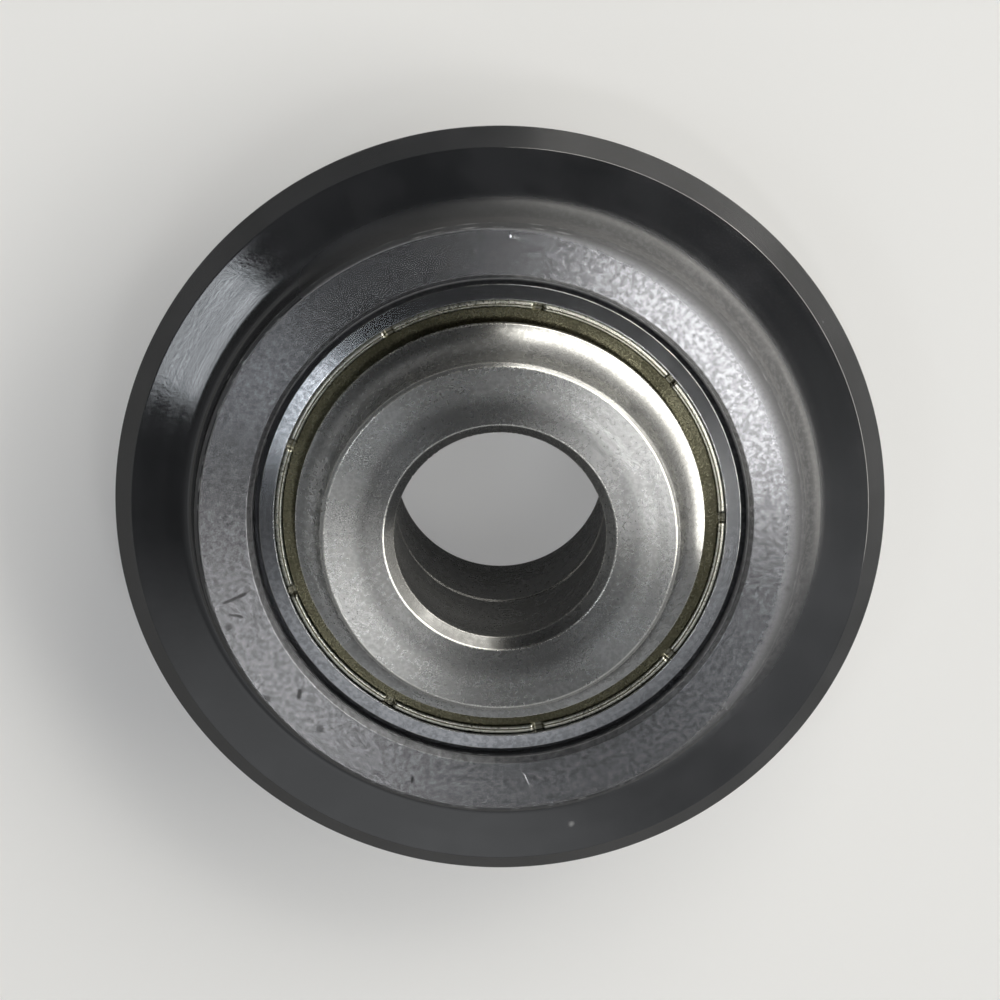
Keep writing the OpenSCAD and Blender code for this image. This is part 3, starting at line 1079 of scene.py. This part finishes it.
@dataclass(frozen=True)
class Softbox:
    """A rectangular lamp that faces the wheel, placed by the direction it is seen in.

    Its long side runs as nearly along a given direction as it can. One that isn't mirrored
    lights the floor and throws shadows, but shows in no gloss.
    """

    name: str
    towards: Triple
    distance: float
    size: Pair
    along: Triple
    radiance: float
    colour: Triple = (1.0, 1.0, 1.0)
    mirrored: bool = True

    def build(self) -> Object:
        """Builds the lamp: its power is radiance times pi times its area."""
        lamp = bpy.data.lights.new(self.name, "AREA")
        lamp.shape = "RECTANGLE"
        lamp.size, lamp.size_y = self.size
        lamp.energy = self.radiance * math.pi * self.size[0] * self.size[1]
        lamp.color = self.colour
        light = placed(self.name, lamp)
        light.visible_glossy = self.mirrored
        away = Vector(self.towards).normalized()
        across = away.cross(Vector(self.along)).normalized()
        axes = Matrix((across.cross(away), across, away)).transposed().to_4x4()
        light.matrix_world = Matrix.Translation(away * self.distance) @ axes
        return light


@dataclass(frozen=True)
class SkyGlow:
    """A wide glow of the room about a direction; edge and core are cosines of angles from it."""

    centre: Triple
    edge: float
    core: float
    strength: float


@dataclass
class Studio:
    """The pale floor, the lamps, the world and the camera, in metres but for view_mm.

    The floor glows towards its far edges as glow says, over the distances of glow_reach.
    """

    floor_z: float = -4.0 * MM
    floor_half: float = 1.5
    floor_paint: Triple = (0.60, 0.60, 0.595)
    floor_mirrored: Triple = (0.26, 0.26, 0.26)
    glow_reach: Pair = (0.15, 1.1)
    glow: Pair = (0.26, 0.74)
    glow_mirrored: float = 0.15
    tilt_degrees: float = 15.5
    distance: float = 0.30
    view_mm: float = 28.6
    boxes: tuple[Softbox, ...] = (
        Softbox("key_box", (0.158, -0.148, 0.976), 0.36, (0.08, 0.035), (-0.60, 0.80, 0.0), 9.0),
        Softbox("low_box", (-0.19, -0.35, 0.917), 0.36, (0.08, 0.035), (-0.42, 0.91, 0.0), 0.7),
        Softbox("left_box", (-0.372, -0.034, 0.928), 0.36, (0.07, 0.035), (-0.2, -0.39, -0.1), 5.6,
                COOL),
        Softbox("right_box", (0.86, 0.12, 0.60), 0.42, (0.46, 0.24), (-0.14, 0.98, 0.0), 4.0, WARM),
        Softbox("top_box", (0.46, 0.76, 0.60), 0.42, (0.34, 0.24), (-0.86, 0.51, 0.0), 3.8, WARM),
        Softbox("floor_box", (0.25, 0.35, 0.9), 0.6, (0.35, 0.35), (1.0, 0.0, 0.0), 0.2,
                mirrored=False),
    )
    sky_colour: Triple = (0.96, 0.98, 1.0)
    backdrop: Triple = (0.86, 0.86, 0.86)
    sky_dark: float = 0.025
    horizon: float = 0.16
    horizon_rise: Pair = (0.02, 0.26)
    sky: tuple[SkyGlow, ...] = (
        SkyGlow((-0.30, -0.50, -0.55), -0.45, 0.60, 0.20),
        SkyGlow((-0.23, -0.66, 0.715), 0.90, 0.995, 0.36),
        SkyGlow((0.50, -0.62, 0.60), 0.72, 0.95, 0.15),
        SkyGlow((0.26, -0.37, 0.89), 0.965, 0.995, 0.20),
    )

    def floor(self) -> Object:
        """Builds the floor that the lower bush stands on. From below it can be seen through."""
        h, z = self.floor_half, self.floor_z
        mesh = bpy.data.meshes.new("floor")
        mesh.from_pydata([(-h, -h, z), (h, -h, z), (h, h, z), (-h, h, z)], [], [(0, 1, 2, 3)])
        floor = placed("floor", mesh)
        material = bpy.data.materials.new("pale_floor")
        g = blank_graph(material)
        path = g.add("ShaderNodeLightPath").outputs
        glossy = path["Is Glossy Ray"]
        paint = g.mix(glossy, self.floor_paint, self.floor_mirrored)
        diffuse = g.add("ShaderNodeBsdfDiffuse", {"Color": paint})
        glow = g.ramp(g.vector("LENGTH", g.spot()), *self.glow_reach, self.glow)
        glow = g.add("ShaderNodeEmission", {"Color": (1.0, 1.0, 1.0, 1.0), "Strength": glow})
        seen = g.math("MAXIMUM", path["Is Camera Ray"], g.times(glossy, self.glow_mirrored))
        unlit = g.add("ShaderNodeEmission", {"Strength": 0.0})
        lift = g.add("ShaderNodeMixShader", {0: seen, 1: unlit.outputs[0], 2: glow.outputs[0]})
        both = g.add("ShaderNodeAddShader", {0: diffuse.outputs[0], 1: lift.outputs[0]})
        below = g.add("ShaderNodeNewGeometry").outputs["Backfacing"]
        clear = g.add("ShaderNodeBsdfTransparent")
        whole = g.add("ShaderNodeMixShader", {0: below, 1: both.outputs[0], 2: clear.outputs[0]})
        g.put(whole.outputs[0], g.add("ShaderNodeOutputMaterial").inputs[0])
        mesh.materials.append(material)
        return floor

    def world(self) -> None:
        """Lights the room: dark overhead, with wide soft glows, and pale where the camera sees it."""
        world = bpy.data.worlds.new("studio")
        g = blank_graph(world)
        camera_ray = g.add("ShaderNodeLightPath").outputs["Is Camera Ray"]
        towards = g.add("ShaderNodeTexCoord").outputs["Generated"]
        strength: object = self.sky_dark
        for glow in self.sky:
            aligned = g.vector("DOT_PRODUCT", towards, glow.centre)
            strength = g.plus(strength, g.ramp(aligned, glow.edge, glow.core, (0.0, glow.strength)))
        rise = g.math("ABSOLUTE", g.add("ShaderNodeSeparateXYZ", {0: towards}).outputs["Z"])
        strength = g.plus(strength, g.ramp(rise, *self.horizon_rise, (self.horizon, 0.0)))
        soft = g.add("ShaderNodeBackground", {"Color": (*self.sky_colour, 1.0), "Strength": strength})
        pale = g.add("ShaderNodeBackground", {"Color": (*self.backdrop, 1.0), "Strength": 1.0})
        seen = g.add("ShaderNodeMixShader", {0: camera_ray, 1: soft.outputs[0], 2: pale.outputs[0]})
        g.put(seen.outputs[0], g.add("ShaderNodeOutputWorld").inputs[0])
        bpy.context.scene.world = world

    def camera(self) -> Object:
        """Places the camera above the wheel, tilted off its axle towards +Y.

        Its up direction points to +Y, so the front face sits low in the picture.

        Returns:
            The camera.
        """
        lens = bpy.data.cameras.new("camera")
        lens.sensor_width = SENSOR_MM
        lens.lens = lens.sensor_width * self.distance / (self.view_mm * MM)
        lens.clip_start, lens.clip_end = 0.01, 10.0
        camera = placed("camera", lens)
        turn = Matrix.Rotation(math.radians(-self.tilt_degrees), 4, "X")
        camera.matrix_world = turn @ Matrix.Translation((0.0, 0.0, self.distance))
        bpy.context.scene.camera = camera
        return camera

    def build(self) -> None:
        """Builds the whole studio."""
        self.camera()
        self.floor()
        self.world()
        for box in self.boxes:
            box.build()
        bpy.context.scene.view_settings.view_transform = "Standard"


def main() -> None:
    logging.basicConfig(level=logging.INFO, format="%(message)s")
    Studio().build()
    fx = Effects()
    pieces = [CuttingWheel().build(fx)]
    pieces += Bearing().build(fx)
    bush = BUSH_STEEL.build(fx)
    pieces += [Bush().build(side, bush) for side in Side]
    for piece in pieces:
        log.info("%s: %d faces", piece.name, len(piece.data.polygons))


if __name__ == "__main__":
    main()
